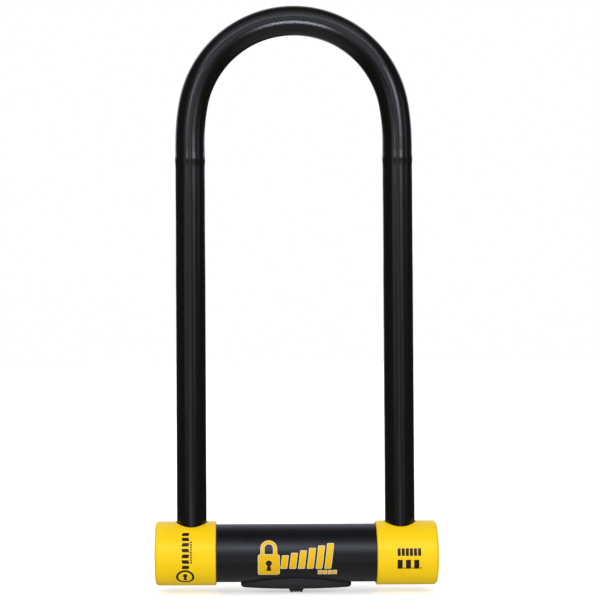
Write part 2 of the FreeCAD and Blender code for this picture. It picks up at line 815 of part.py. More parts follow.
def gated_disc(name, floor, thickness, gated):
    """A disc of the pack with the keyway through it and, in a detainer, the sidebar's gate."""
    disc = body(name)
    section = sketch_on(disc, "XY_Plane", floor)
    circle(section, "disc_radius")
    keyway_slot(section)
    pad(disc, section, thickness)
    if gated:
        gate = sketch_on(disc, "XY_Plane", floor)
        half = "sidebar_width / 2 + slip"
        inner = "- disc_radius + sidebar_depth / 2"
        rectangle(gate, "- disc_radius - overrun", inner, "- ( sidebar_width / 2 + slip )", half)
        pocket(disc, gate, thickness, reverse=True)
    return disc


def make_disc_pack():
    plate = gated_disc("drill_plate", "- stack_front", "drill_plate_thickness", False)
    keep("drill_plate", plate)
    discs = []
    spacers = []
    base = "- stack_front + drill_plate_thickness"
    for index in range(DISC_COUNT):
        floor = f"{base} + {index} * ( disc_thickness + spacer_thickness )"
        discs.append(gated_disc(f"disc_{index}", floor, "disc_thickness", True))
        if index < DISC_COUNT - 1:
            above = f"{floor} + disc_thickness"
            spacers.append(gated_disc(f"spacer_{index}", above, "spacer_thickness", True))
    group("detainer_discs", discs)
    group("disc_spacers", spacers)

    bar = body("sidebar")
    section = sketch_on(bar, "XY_Plane", "- stack_front + drill_plate_thickness")
    outer = "- barrel_radius + slip"
    inner = "- barrel_radius + slip + sidebar_depth"
    rectangle(section, outer, inner, "- sidebar_width / 2", "sidebar_width / 2")
    pad(bar, section, "stack_front - drill_plate_thickness - stack_back")
    keep("sidebar", bar)


# ---------------------------------------------------------------- keyhole cover


def lens_outline(sketch, inset):
    """A pointed oval: two long arcs tangent to a small arc round each tip."""
    inset = f"( {inset} )"
    length = number(f"cover_half_length - {inset}")
    width = number(f"cover_half_width - {inset}")
    tip = number(f"cover_tip_radius - {inset}")
    reach = length - tip
    side = (tip * tip - width * width - reach * reach) / (2 * (tip - width))
    rise = side - width
    tip_centre = Vector(reach, 0, 0)
    side_centre = Vector(0, -rise, 0)
    direction = (tip_centre - side_centre).normalize()
    touch = side_centre + direction * side

    def arc(centre, radius, start, end):
        ring = Part.Circle(centre, Vector(0, 0, 1), radius)
        angles = [full_angle(point - centre) for point in (start, end)]
        return sketch.addGeometry(Part.ArcOfCircle(ring, *angles))

    signs = ((1, -1), (1, 1), (-1, 1), (-1, -1))
    corners = [Vector(touch.x * across, touch.y * up, 0) for across, up in signs]
    right = arc(tip_centre, tip, corners[0], corners[1])
    top = arc(side_centre, side, corners[1], corners[2])
    left = arc(-tip_centre, tip, corners[2], corners[3])
    bottom = arc(-side_centre, side, corners[3], corners[0])
    loop = [right, top, left, bottom]
    for first, second in zip(loop, loop[1:] + loop[:1]):
        sketch.addConstraint(Sketcher.Constraint("Tangent", first, 2, second, 1))
    for tip_arc, place in ((right, "{0}"), (left, "- ( {0} )")):
        dimension(sketch, "Radius", (tip_arc,), f"cover_tip_radius - {inset}")
        centre_place = place.format("cover_half_length - cover_tip_radius")
        pin_point(sketch, tip_arc, 3, centre_place, "0")
    sketch.addConstraint(Sketcher.Constraint("Equal", top, bottom))
    width_formula = f"( cover_half_width - {inset} )"
    tip_formula = f"( cover_tip_radius - {inset} )"
    reach_formula = "( cover_half_length - cover_tip_radius )"
    squares = f"{tip_formula} ^ 2 - {width_formula} ^ 2 - {reach_formula} ^ 2"
    dimension(sketch, "Radius", (top,), f"( {squares} ) / ( 2 * ( {tip_formula} - {width_formula} ) )")


def full_angle(direction):
    """The direction's angle from +X, counted up to a full turn."""
    angle = Vector(1, 0, 0).getAngle(direction)
    return angle if direction.y >= 0 else -angle


def lens_shell(name, inner, middle, drop, inset):
    """A lens-shaped piece bent round the crossbar's underside, its outer face crowned along X."""
    piece = body(name)
    section = sketch_on(piece, "XZ_Plane")
    reach = number("cover_half_length + overrun")
    near = -number(inner)
    far = number(f"{drop} - {middle}")
    places = ((-reach, far), (-reach, near), (reach, near), (reach, far))
    corners = [Vector(across, up, 0) for across, up in places]
    lines = [
        section.addGeometry(Part.LineSegment(start, end)) for start, end in zip(corners, corners[1:])
    ]
    belly = section.addGeometry(Part.Arc(corners[3], Vector(0, -number(middle), 0), corners[0]))
    for first, second in zip(lines, lines[1:]):
        section.addConstraint(Sketcher.Constraint("Coincident", first, 2, second, 1))
    start, end = (1, 2) if section.getPoint(belly, 1).x > 0 else (2, 1)
    section.addConstraint(Sketcher.Constraint("Coincident", lines[2], 2, belly, start))
    section.addConstraint(Sketcher.Constraint("Coincident", lines[0], 1, belly, end))
    places = [
        ("- cover_half_length - overrun", f"{drop} - {middle}"),
        ("- cover_half_length - overrun", f"- ( {inner} )"),
        ("cover_half_length + overrun", f"- ( {inner} )"),
    ]
    for line, (across, up) in zip(lines, places):
        pin_point(section, line, 1, across, up)
    pin_point(section, lines[2], 2, "cover_half_length + overrun", f"{drop} - {middle}")
    reach = "cover_half_length + overrun"
    dimension(section, "Radius", (belly,), f"( ( {reach} ) ^ 2 + ( {drop} ) ^ 2 ) / ( 2 * ( {drop} ) )")
    turn(piece, section, "H_Axis", 150)
    trim = sketch_on(piece, "XY_Plane")
    wide = "cover_half_length + 3 * overrun"
    deep = "cover_top + 3 * overrun"
    rectangle(trim, "- cover_half_length - 3", wide, "- cover_top - 3 * overrun", deep)
    lens_outline(trim, inset)
    return piece, pocket(piece, trim, "cover_top + 3 * overrun")


def belt(name, inner, outer, low_x, high_x, half_width):
    """A strip of a tube about the crossbar's axis, on its underside, between two x and two y."""
    length = f"{high_x} - ( {low_x} )"
    ring = boolean(
        "Cut",
        name + "_ring",
        cylinder(name + "_drum", outer, length, (low_x, "0", "0"), ALONG_X),
        cylinder(name + "_core", inner, length, (low_x, "0", "0"), ALONG_X),
    )
    lows = (low_x, f"- ( {half_width} )", "- cover_top - 5")
    highs = (high_x, half_width, "- shell_port_radius")
    return boolean("Common", name, ring, box(name + "_box", lows, highs))


def lens_belt(name, inner, outer, inset):
    """A lens-shaped piece of a tube about the crossbar's axis, on its underside."""
    low = "- cover_half_length - overrun"
    length = "2 * ( cover_half_length + overrun )"
    ring = boolean(
        "Cut",
        name + "_ring",
        cylinder(name + "_drum", outer, length, (low, "0", "0"), ALONG_X),
        cylinder(name + "_core", inner, length, (low, "0", "0"), ALONG_X),
    )
    prism = body(name + "_prism")
    section = sketch_on(prism, "XY_Plane", "- cover_top - 3 * overrun")
    lens_outline(section, inset)
    pad(prism, section, "cover_height + 10 * overrun")
    return boolean("Common", name, ring, prism)


def hole_tools(name, radius):
    """Upright pegs at the two cover screws, for cutting their holes."""
    length = "cover_top + 3 * overrun"
    low = "- cover_top - 3 * overrun"
    return [
        cylinder(f"{name}_{index}", radius, length, (place, "0", low))
        for index, place in enumerate(("screw_x", "- screw_x"))
    ]


def fuse(name, members):
    together = doc.addObject("Part::MultiFuse", name)
    together.Shapes = members
    return together


def make_cover():
    """The moulded cover with its rounded rim, hollowed for the gasket, the shutter and the screws."""
    blank, wall = lens_shell("cover_blank", "cover_base", "cover_top", "cover_crown", "0")
    doc.recompute()
    rim_height = number("cover_rim")

    def on_rim(edge):
        points = [edge.valueAt(place) for place in (edge.FirstParameter, edge.LastParameter)]
        return all((point.y ** 2 + point.z ** 2) ** 0.5 > rim_height - 0.3 for point in points)

    dress(blank, "PartDesign::Fillet", "Radius", wall, on_rim, "cover_round")
    recess = lens_belt("gasket_recess", "cover_base - overrun", "gasket_top + slip", "gasket_inset - slip")
    low_x = "- shutter_half_length - 2 * shutter_gap"
    high_x = "shutter_travel + shutter_half_length + 2 * shutter_gap"
    side = "shutter_half_width + 2 * shutter_gap"
    track = belt("shutter_track", "cover_base - overrun / 2", "pocket_outer", low_x, high_x, side)
    window_low = "- thumb_half_length - 2 * shutter_gap"
    window_high = "shutter_travel + thumb_half_length + 2 * shutter_gap"
    window_side = "thumb_half_width + 2 * shutter_gap"
    lows = (window_low, f"- ( {window_side} )", "- cover_top - 3 * overrun")
    window = box("thumb_window", lows, (window_high, window_side, "- cover_base + 2 * overrun"))
    sinks = []
    for index, place in enumerate(("screw_x", "- screw_x")):
        sinks.append(screw_shape(f"screw_sink_{index}", place, "hole_gap", True))
    cover = blank
    for index, tool in enumerate([recess, track, window] + sinks):
        cover = boolean("Cut", f"cover_cut_{index}", cover, tool)
    keep("keyhole_cover", cover)

    pad_blank = lens_belt("gasket_blank", "cover_base", "gasket_top", "gasket_inset")
    below = ("0", "0", "- cover_top - 3 * overrun")
    keyhole = cylinder("keyhole_tool", "shell_port_radius + port_gap", "cover_top", below)
    pegs = hole_tools("gasket_peg", "screw_shank_radius + hole_gap")
    holes = fuse("gasket_holes", [keyhole] + pegs)
    keep("cover_gasket", boolean("Cut", "cover_gasket", pad_blank, holes))
    places = ("screw_x", "- screw_x")
    screws = [screw_shape(f"cover_screw_{k}", place, "0", False) for k, place in enumerate(places)]
    group("cover_screws", screws)


def screw_shape(name, place, gap, relief):
    """A countersunk screw driven upward from the cover's face, or its hole when given a gap."""
    face = "- cover_top + screw_sink + cover_crown * ( screw_x / cover_half_length ) ^ 2"
    shank = cylinder(
        name + "_shank",
        f"screw_shank_radius + {gap}",
        f"- bore_radius - 2 * slip - ( {face} )",
        (place, "0", face),
    )
    head = doc.addObject("Part::Cone", name + "_head")
    drive(head, "Radius1", f"screw_head_radius + {gap}")
    drive(head, "Radius2", f"screw_shank_radius + {gap}")
    drive(head, "Height", "screw_head_height")
    for letter, formula in zip("xyz", (place, "0", f"{face} + {gap}")):
        drive(head, f"Placement.Base.{letter}", formula)
    members = [shank, head]
    if relief:
        mouth = (place, "0", f"{face} + {gap} - 2 * overrun")
        members.append(cylinder(name + "_mouth", f"screw_head_radius + {gap}", "2 * overrun", mouth))
    return fuse(name, members)


def make_shutter():
    """The sliding dust shutter: a bent plate behind the window, with a ribbed thumb piece on it."""
    half = "shutter_half_length"
    low = "- shutter_half_length"
    plate = belt("shutter_plate", "shutter_inner", "shutter_outer", low, half, "shutter_half_width")
    thumb = body("shutter_thumb")
    section = sketch_on(thumb, "XZ_Plane")
    low = "- cover_top - thumb_rise"
    high = "- shutter_inner - shutter_thickness / 2"
    taper = "thumb_half_length - thumb_rise / 2"
    outline(
        section,
        [
            ("- thumb_half_length", high),
            ("- thumb_half_length", "- cover_top"),
            (f"- ( {taper} )", low),
            (taper, low),
            ("thumb_half_length", "- cover_top"),
            ("thumb_half_length", high),
        ],
    )
    pad(thumb, section, "2 * thumb_half_width", both_ways=True)
    grooves = sketch_on(thumb, "XZ_Plane")
    pitch = f"( 2 * ( {taper} ) / {RIB_COUNT} )"
    for index in range(1, RIB_COUNT):
        place = f"- ( {taper} ) + {index} * {pitch}"
        circle(grooves, "rib_depth", place, low)
    pocket(thumb, grooves, "2 * thumb_half_width + overrun", both_ways=True)
    keep("shutter", boolean("Fuse", "shutter", plate, thumb))


def check_and_write():
    """Stop on any failed feature, empty cut or bad solid, then write one STEP file a sub-part."""
    doc.recompute()
    for item in doc.Objects:
        if {"Invalid", "Error"} & set(item.State):
            raise RuntimeError(f"{item.Name} did not compute")
        if item.TypeId == "PartDesign::Pocket":
            removed = item.BaseFeature.Shape.Volume - item.Shape.Volume
            if removed < 0.01:
                raise RuntimeError(f"{item.Name} cuts nothing")
    for name, item in nodes.items():
        if item.Shape.isNull() or not item.Shape.isValid() or not item.Shape.Solids:
            raise RuntimeError(f"{name} is not a good solid")
    os.makedirs("parts", exist_ok=True)
    for name, item in nodes.items():
        item.Shape.exportStep(os.path.join("parts", name + ".step"))
        print(f"{name}: {len(item.Shape.Solids)} solid, {item.Shape.Volume:.1f} mm3")


fill_sheet()
make_shackle()
make_tube()
make_bar_jacket()
make_end_caps()
make_foot_guides()
make_end_plugs()
make_block()
make_bolt_guides()
make_bolts()
make_cam()
make_cylinder()
make_disc_pack()
make_cover()
make_shutter()
check_and_write()
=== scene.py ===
from math import pi, radians

import bpy
import numpy as np
from mathutils import Matrix, Vector


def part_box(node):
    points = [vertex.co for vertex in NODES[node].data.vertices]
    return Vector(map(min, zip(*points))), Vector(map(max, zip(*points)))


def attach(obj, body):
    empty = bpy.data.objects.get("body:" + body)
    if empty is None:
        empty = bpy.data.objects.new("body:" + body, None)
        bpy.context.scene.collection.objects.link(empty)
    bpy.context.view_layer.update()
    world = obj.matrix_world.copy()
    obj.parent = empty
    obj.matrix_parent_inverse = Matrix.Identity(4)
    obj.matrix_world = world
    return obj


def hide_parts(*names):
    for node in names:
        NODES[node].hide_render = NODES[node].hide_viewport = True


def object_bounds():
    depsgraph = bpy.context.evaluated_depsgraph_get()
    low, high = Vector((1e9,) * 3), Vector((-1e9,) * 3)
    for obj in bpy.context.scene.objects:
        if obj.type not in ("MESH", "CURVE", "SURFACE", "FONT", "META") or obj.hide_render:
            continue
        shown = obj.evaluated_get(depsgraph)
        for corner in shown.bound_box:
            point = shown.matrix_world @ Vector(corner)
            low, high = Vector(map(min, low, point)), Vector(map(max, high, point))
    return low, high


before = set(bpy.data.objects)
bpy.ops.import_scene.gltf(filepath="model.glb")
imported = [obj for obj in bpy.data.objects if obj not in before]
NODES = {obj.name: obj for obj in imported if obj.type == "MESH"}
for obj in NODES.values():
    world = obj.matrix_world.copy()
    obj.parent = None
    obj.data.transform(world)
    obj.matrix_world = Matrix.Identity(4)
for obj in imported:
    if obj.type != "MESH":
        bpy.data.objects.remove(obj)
cad_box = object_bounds()

# A bicycle U lock.  X runs along the crossbar, Z up along the legs, and the origin is the centre of
# the crossbar.  Lengths are metres; MM turns millimetres into them.

MM = 0.001

# ------------------------------------------------------------------ sizes read from the frame

JACKET_LOW, JACKET_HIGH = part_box("shackle_jacket")
ROD_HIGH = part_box("shackle_bar")[1]
SLEEVE_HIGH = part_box("crossbar_jacket")[1]
CAP_LOW, CAP_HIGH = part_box("end_cap_right")
COVER_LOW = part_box("keyhole_cover")[0]

LEG_RADIUS = JACKET_HIGH.y
ROD_RADIUS = ROD_HIGH.y
LEG_X = JACKET_HIGH.x - LEG_RADIUS
ARCH_TOP = JACKET_HIGH.z - LEG_RADIUS
ARCH_INSET = 1.2 * MM
ARCH_RADIUS = LEG_X - ARCH_INSET
BLEND_RADIUS = 2 * ARCH_RADIUS
ARCH_CENTRE = ARCH_TOP - ARCH_RADIUS
SLEEVE_RADIUS = SLEEVE_HIGH.z
CAP_RADIUS = CAP_HIGH.z
CAP_INNER = CAP_LOW.x
CAP_OUTER = CAP_HIGH.x

# ------------------------------------------------------------------ shader expressions

# A Mix node's sockets are found by number, as its number and colour sockets share their names.
MIX_AMOUNT, MIX_NUMBER_A, MIX_NUMBER_B, MIX_COLOUR_A, MIX_COLOUR_B = 0, 2, 3, 6, 7
MIX_NUMBER_OUT, MIX_COLOUR_OUT = 0, 2


class Wire:
    """One number socket of a material; arithmetic on it adds Math nodes."""

    def __init__(self, shop, socket):
        self.shop = shop
        self.socket = socket

    def math(self, operation, *others, flip=False):
        values = [self, *others]
        if flip:
            values.reverse()
        inputs = dict(enumerate(values))
        return self.shop.add("ShaderNodeMath", {"operation": operation}, inputs)

    def __add__(self, other):
        return self.math("ADD", other)

    def __radd__(self, other):
        return self.math("ADD", other)

    def __sub__(self, other):
        return self.math("SUBTRACT", other)

    def __rsub__(self, other):
        return self.math("SUBTRACT", other, flip=True)

    def __mul__(self, other):
        return self.math("MULTIPLY", other)

    def __rmul__(self, other):
        return self.math("MULTIPLY", other)

    def __truediv__(self, other):
        return self.math("DIVIDE", other)

    def __pow__(self, other):
        return self.math("POWER", other)

    def clamp(self):
        return self.shop.add("ShaderNodeClamp", {}, {"Value": self})

    def step(self, low, high):
        """0 at low and 1 at high, smooth between and level beyond; low may be the greater."""
        settings = {"interpolation_type": "SMOOTHSTEP"}
        inputs = {"Value": self, "From Min": low, "From Max": high}
        return self.shop.add("ShaderNodeMapRange", settings, inputs)


class Workshop:
    """Builds one node tree, a material's or a world's: every node comes from add."""

    def __init__(self, owner):
        owner.use_nodes = True
        self.owner = owner
        self.tree = owner.node_tree
        self.tree.nodes.clear()

    @classmethod
    def material(cls, name):
        """An empty material, with the object's own coordinates at hand as place."""
        shop = cls(bpy.data.materials.new(name))
        shop.place = shop.add("ShaderNodeTexCoord", {}, {}, "Object")
        return shop

    def add(self, kind, settings, inputs, output=0):
        """A node of this kind: settings first, then each socket's value or link."""
        node = self.tree.nodes.new(kind)
        for name, value in settings.items():
            if name == "ramp":
                self.fill_ramp(node.color_ramp, value)
            else:
                setattr(node, name, value)
        for key, value in inputs.items():
            if isinstance(value, Wire):
                self.tree.links.new(value.socket, node.inputs[key])
            else:
                node.inputs[key].default_value = value
        return Wire(self, node.outputs[output]) if node.outputs else None

    @staticmethod
    def fill_ramp(ramp, stops):
        while len(ramp.elements) < len(stops):
            ramp.elements.new(0.5)
        for element, (position, colour) in zip(ramp.elements, stops):
            element.position = position
            element.color = (*colour, 1)

    def stretched(self, scale, offset=(0, 0, 0), source=None):
        """The object's coordinates in metres, multiplied along each axis."""
        inputs = {"Vector": source or self.place, "Scale": scale, "Location": offset}
        return self.add("ShaderNodeMapping", {}, inputs)

    def noise(self, vector, scale, detail=3.0, roughness=0.55):
        inputs = {"Vector": vector, "Scale": scale, "Detail": detail, "Roughness": roughness}
        return self.add("ShaderNodeTexNoise", {}, inputs)

    def cells(self, vector, scale):
        """How far each place is from the nearest of many scattered points."""
        inputs = {"Vector": vector, "Scale": scale}
        return self.add("ShaderNodeTexVoronoi", {"feature": "F1"}, inputs, "Distance")

    def part(self, vector, axis):
        return self.add("ShaderNodeSeparateXYZ", {}, {0: vector}, axis)

    def blend(self, amount, first, second):
        """One colour turning into another as the amount goes from 0 to 1."""
        ends = [end if isinstance(end, Wire) else (*end, 1) for end in (first, second)]
        inputs = {MIX_AMOUNT: amount, MIX_COLOUR_A: ends[0], MIX_COLOUR_B: ends[1]}
        return self.add("ShaderNodeMix", {"data_type": "RGBA"}, inputs, MIX_COLOUR_OUT)

    def bump(self, height, distance):
        inputs = {"Height": height, "Distance": distance, "Strength": 1.0}
        return self.add("ShaderNodeBump", {}, inputs)

    def finish(self, **sockets):
        """A Principled surface: keyword names are socket names with _ for a space."""
        inputs = {name.replace("_", " "): value for name, value in sockets.items()}
        for name, value in inputs.items():
            if name.endswith(("Color", "Tint")) and not isinstance(value, Wire):
                inputs[name] = (*value, 1)
        surface = self.add("ShaderNodeBsdfPrincipled", {}, inputs)
        self.add("ShaderNodeOutputMaterial", {}, {"Surface": surface})
        return self.owner


# ------------------------------------------------------------------ materials


def leg_vinyl():
    """Glossy black vinyl pulled over the rod: faint lengthwise draw lines, soft ripples, fine scuffs."""
    shop = Workshop.material("leg_vinyl_black")
    along = shop.add("ShaderNodeUVMap", {}, {}, "UV")
    lines = shop.noise(shop.stretched((2.5, 16.0, 1.0), source=along), 1.0, 1.0)
    hairs = shop.noise(shop.stretched((8.0, 90.0, 1.0), source=along), 1.0, 2.0)
    ripple = shop.noise(shop.stretched((18.0, 2.0, 1.0), source=along), 1.0, 2.0)
    grain = shop.noise(shop.place, 2600.0, 2.0)
    scuffs = shop.cells(shop.stretched((900.0, 900.0, 160.0)), 1.0).step(0.06, 0.02)
    patches = shop.noise(shop.place, 55.0, 3.0).step(0.58, 0.72)
    worn = scuffs * patches
    tone = shop.blend(lines, (0.0034, 0.0025, 0.0018), (0.0068, 0.0058, 0.0050))
    colour = shop.blend(worn * 0.4, tone, (0.03, 0.03, 0.032))
    rough = 0.17 + lines * 0.07 + worn * 0.2
    height = lines * 1.0 + hairs * 0.03 + ripple * 0.8 + grain * 0.015
    normal = shop.bump(height, 0.00015)
    return shop.finish(Base_Color=colour, Roughness=rough, Normal=normal, IOR=1.5)


def bar_vinyl():
    """Satin black jacket: soft bands round the bar from drawing it on, with a fine grain."""
    shop = Workshop.material("bar_jacket_black")
    bands = shop.noise(shop.stretched((260.0, 22.0, 22.0)), 1.0, 2.0)
    broad = shop.noise(shop.stretched((60.0, 30.0, 30.0), offset=(3, 1, 2)), 1.0, 2.0)
    grain = shop.noise(shop.place, 2200.0, 3.0)
    scuffs = shop.cells(shop.stretched((140.0, 700.0, 700.0)), 1.0).step(0.05, 0.02)
    worn = scuffs * shop.noise(shop.place, 70.0, 2.0).step(0.6, 0.7)
    tone = shop.blend(broad, (0.0018, 0.0017, 0.0016), (0.0034, 0.0034, 0.0036))
    colour = shop.blend(worn * 0.3, tone, (0.03, 0.03, 0.032))
    rough = 0.33 + bands * 0.12 + grain * 0.05
    normal = shop.bump(bands * 0.25 + broad * 0.4 + grain * 0.05, 0.0001)
    return shop.finish(Base_Color=colour, Roughness=rough, Normal=normal, IOR=1.5)


def cap_yellow():
    """Moulded yellow: faint flow clouds, a pebbled skin and a darker, browner tone toward both rims."""
    shop = Workshop.material("cap_yellow_moulded")
    clouds = shop.noise(shop.stretched((45.0, 90.0, 90.0)), 1.0, 3.0)
    pebble = shop.noise(shop.place, 1500.0, 2.0)
    specks = shop.cells(shop.place, 420.0).step(0.09, 0.04) * shop.noise(shop.place, 90.0).step(0.6, 0.7)
    # The yellow turns darker and browner toward the inner rim, and half as much toward the outer rim.
    across = shop.part(shop.place, "X").math("ABSOLUTE")
    inner_rim = across.step(CAP_INNER + 1.6 * MM, CAP_INNER + 0.2 * MM)
    outer_rim = across.step(CAP_OUTER - 2.2 * MM, CAP_OUTER - 0.2 * MM)
    rim = (inner_rim + outer_rim * 0.5).clamp()
    base = shop.blend(clouds, (0.885, 0.570, 0.0010), (0.935, 0.615, 0.0020))
    rim_darkened = shop.blend(rim * 0.35, base, (0.80, 0.47, 0.02))
    colour = shop.blend(specks * 0.5, rim_darkened, (0.45, 0.27, 0.02))
    rough = 0.33 + clouds * 0.10 + pebble * 0.06
    normal = shop.bump(pebble * 0.12 + clouds * 0.5, 0.00008)
    shine = (1.0, 0.86, 0.34)
    return shop.finish(
        Base_Color=colour, Roughness=rough, Normal=normal, IOR=1.49, Specular_Tint=shine
    )


def cover_moulded():
    """Black moulded plastic with a fine spark-eroded grain; its underside is painted a little paler, a
    painted sheen for the light on the lower face.
    """
    shop = Workshop.material("cover_black_moulded")
    grain = shop.noise(shop.place, 1900.0, 4.0, 0.65)
    clouds = shop.noise(shop.place, 120.0, 3.0)
    # Painted sheen: the lowest band of the cover is painted paler to stand in for light on its lower
    # face; it is also made less rough there.
    below = shop.part(shop.place, "Z").step(COVER_LOW.z + 0.8 * MM, COVER_LOW.z - 1.2 * MM)
    tone = shop.blend(clouds, (0.0060, 0.0058, 0.0060), (0.0110, 0.0108, 0.0112))
    colour = shop.blend(below * 0.5, tone, (0.018, 0.018, 0.019))
    rough = 0.46 + grain * 0.14 - below * 0.12
    normal = shop.bump(grain * 0.6 + clouds * 0.3, 0.00007)
    return shop.finish(Base_Color=colour, Roughness=rough, Normal=normal, IOR=1.47)


def soft_rubber():
    """Dull black rubber with a bloom of pale dust."""
    shop = Workshop.material("seal_rubber")
    dust = shop.noise(shop.place, 800.0, 4.0)
    mottle = shop.noise(shop.place, 150.0, 2.0)
    colour = shop.blend(mottle * dust, (0.008, 0.008, 0.008), (0.035, 0.034, 0.033))
    return shop.finish(
        Base_Color=colour, Roughness=0.62 + dust * 0.2, Normal=shop.bump(dust, 0.00006), IOR=1.5
    )


def plain_bush():
    """Dark grey nylon with faint swirls from the mould."""
    shop = Workshop.material("bush_nylon")
    grain = shop.noise(shop.place, 1200.0, 3.0)
    swirl = shop.noise(shop.place, 110.0, 3.0)
    colour = shop.blend(swirl, (0.045, 0.047, 0.050), (0.085, 0.088, 0.092))
    return shop.finish(
        Base_Color=colour, Roughness=0.42 + grain * 0.18, Normal=shop.bump(grain, 0.00006), IOR=1.53
    )


def metal(name, dark, light, rough, lines, bump, stain=None):
    """A bare metal with tool lines stretched the way it was cut, cloudy tone and a few stains."""
    shop = Workshop.material(name)
    tooling = shop.noise(shop.stretched(lines), 1.0, 3.0)
    cloud = shop.noise(shop.place, 95.0, 3.0)
    colour = shop.blend(tooling * 0.6 + cloud * 0.4, dark, light)
    if stain is not None:
        spots = shop.noise(shop.place, 240.0, 4.0).step(0.60, 0.72)
        colour = shop.blend(spots * 0.6, colour, stain)
    return shop.finish(
        Base_Color=colour,
        Metallic=1.0,
        Roughness=rough + tooling * 0.16 + cloud * 0.06,
        Normal=shop.bump(tooling, bump),
    )


def print_ink(name, dark, light, tint=(1.0, 1.0, 1.0)):
    """Screen-printed ink: slight pinholes and an uneven film; the tint colours its shine."""
    shop = Workshop.material(name)
    film = shop.noise(shop.place, 700.0, 3.0)
    thin = shop.noise(shop.place, 3200.0, 2.0)
    colour = shop.blend(film * 0.7 + thin * 0.3, dark, light)
    return shop.finish(
        Base_Color=colour,
        Roughness=0.36 + film * 0.14,
        Normal=shop.bump(thin, 0.00002),
        IOR=1.5,
        Specular_Tint=tint,
    )


STEEL_STAIN = (0.20, 0.16, 0.12)
BRASS_STAIN = (0.25, 0.17, 0.08)

# Each metal: name, darkest and lightest tone; then roughness, tool lines along X Y Z, bump, stain.
METALS = {
    "rod": (
        "rod_hardened_steel", (0.36, 0.36, 0.37), (0.55, 0.55, 0.56),
        0.26, (900, 900, 60), 0.00004, STEEL_STAIN,
    ),
    "tube": (
        "tube_blackened_steel", (0.05, 0.05, 0.055), (0.12, 0.12, 0.13),
        0.34, (60, 700, 700), 0.00004,
    ),
    "pin": (
        "pin_spring_steel", (0.26, 0.26, 0.27), (0.46, 0.46, 0.47),
        0.24, (400, 400, 400), 0.00003,
    ),
    "bolt": (
        "bolt_ground_steel", (0.48, 0.48, 0.49), (0.66, 0.66, 0.67),
        0.18, (40, 1400, 1400), 0.00003,
    ),
    "zinc": (
        "block_cast_zinc", (0.34, 0.34, 0.36), (0.52, 0.52, 0.54),
        0.42, (420, 420, 420), 0.00010,
    ),
    "brass": (
        "cylinder_brass", (0.52, 0.34, 0.11), (0.72, 0.53, 0.22),
        0.22, (900, 900, 90), 0.00004, BRASS_STAIN,
    ),
}

FINISHES = {
    "leg": leg_vinyl(),
    "bar": bar_vinyl(),
    "cap": cap_yellow(),
    "cover": cover_moulded(),
    "rubber": soft_rubber(),
    "bush": plain_bush(),
    "amber": print_ink("print_amber", (0.72, 0.42, 0.002), (0.84, 0.50, 0.004), (1.0, 0.8, 0.3)),
    "cream": print_ink("print_cream", (0.62, 0.58, 0.46), (0.80, 0.76, 0.62)),
    "black": print_ink("print_black", (0.008, 0.004, 0.003), (0.018, 0.010, 0.007), (0.8, 0.6, 0.45)),
    **{key: metal(*numbers) for key, numbers in METALS.items()},
}

NODE_FINISH = {
    "shackle_bar": "rod",
    "crossbar_tube": "tube",
    "crossbar_jacket": "bar",
    "end_cap_left": "cap",
    "end_cap_right": "cap",
    "foot_bush_left": "bush",
    "foot_bush_right": "bush",
    "foot_buffer_left": "rubber",
    "foot_buffer_right": "rubber",
    "leg_seal_left": "rubber",
    "leg_seal_right": "rubber",
    "end_plug_left": "tube",
    "end_plug_right": "tube",
    "plug_pins": "pin",
    "lock_block_lower": "zinc",
    "lock_block_upper": "zinc",
    "bolt_guide_left": "bush",
    "bolt_guide_right": "bush",
    "bolt_left": "bolt",
    "bolt_right": "bolt",
    "drive_pin_left": "pin",
    "drive_pin_right": "pin",
    "drive_cam": "bolt",
    "cylinder_shell": "brass",
    "retaining_pin": "pin",
    "key_barrel": "brass",
    "barrel_tail": "brass",
    "cam_screw": "pin",
    "drill_plate": "bolt",
    "detainer_discs": "brass",
    "disc_spacers": "pin",
    "sidebar": "pin",
    "keyhole_cover": "cover",
    "cover_gasket": "rubber",
    "cover_screws": "pin",
    "shutter": "cover",
    "shackle_jacket": "leg",
}


def dress(thing, finish):
    """Give the thing this finish alone."""
    thing.data.materials.clear()
    thing.data.materials.append(FINISHES[finish])


for node_name, finish_name in NODE_FINISH.items():
    dress(NODES[node_name], finish_name)

# ------------------------------------------------------------------ surfaces worked out with numpy


def make_piece(name, points, faces, finish, body, uv=None):
    """A mesh piece from whole arrays: points (n, 3), quads (m, 4) and perhaps a uv for each point."""
    mesh = bpy.data.meshes.new(name)
    mesh.from_pydata(points.tolist(), [], faces.tolist())
    mesh.update()
    mesh.polygons.foreach_set("use_smooth", np.ones(len(mesh.polygons), bool))
    if uv is not None:
        layer = mesh.uv_layers.new(name="run")
        loops = np.empty(len(mesh.loops), np.int32)
        mesh.loops.foreach_get("vertex_index", loops)
        layer.data.foreach_set("uv", uv[loops].astype(np.float32).ravel())
    piece = bpy.data.objects.new(name, mesh)
    bpy.context.scene.collection.objects.link(piece)
    dress(piece, finish)
    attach(piece, body)
    return piece


def grid_faces(rows, columns, wrap):
    """Quads of a grid of points; with wrap the last column joins the first."""
    row = np.arange(rows - 1)[:, None]
    column = np.arange(columns if wrap else columns - 1)[None, :]
    after = (column + 1) % columns
    corners = [row * columns + column, row * columns + after]
    corners += [(row + 1) * columns + after, (row + 1) * columns + column]
    return np.stack(np.broadcast_arrays(*corners), axis=-1).reshape(-1, 4)


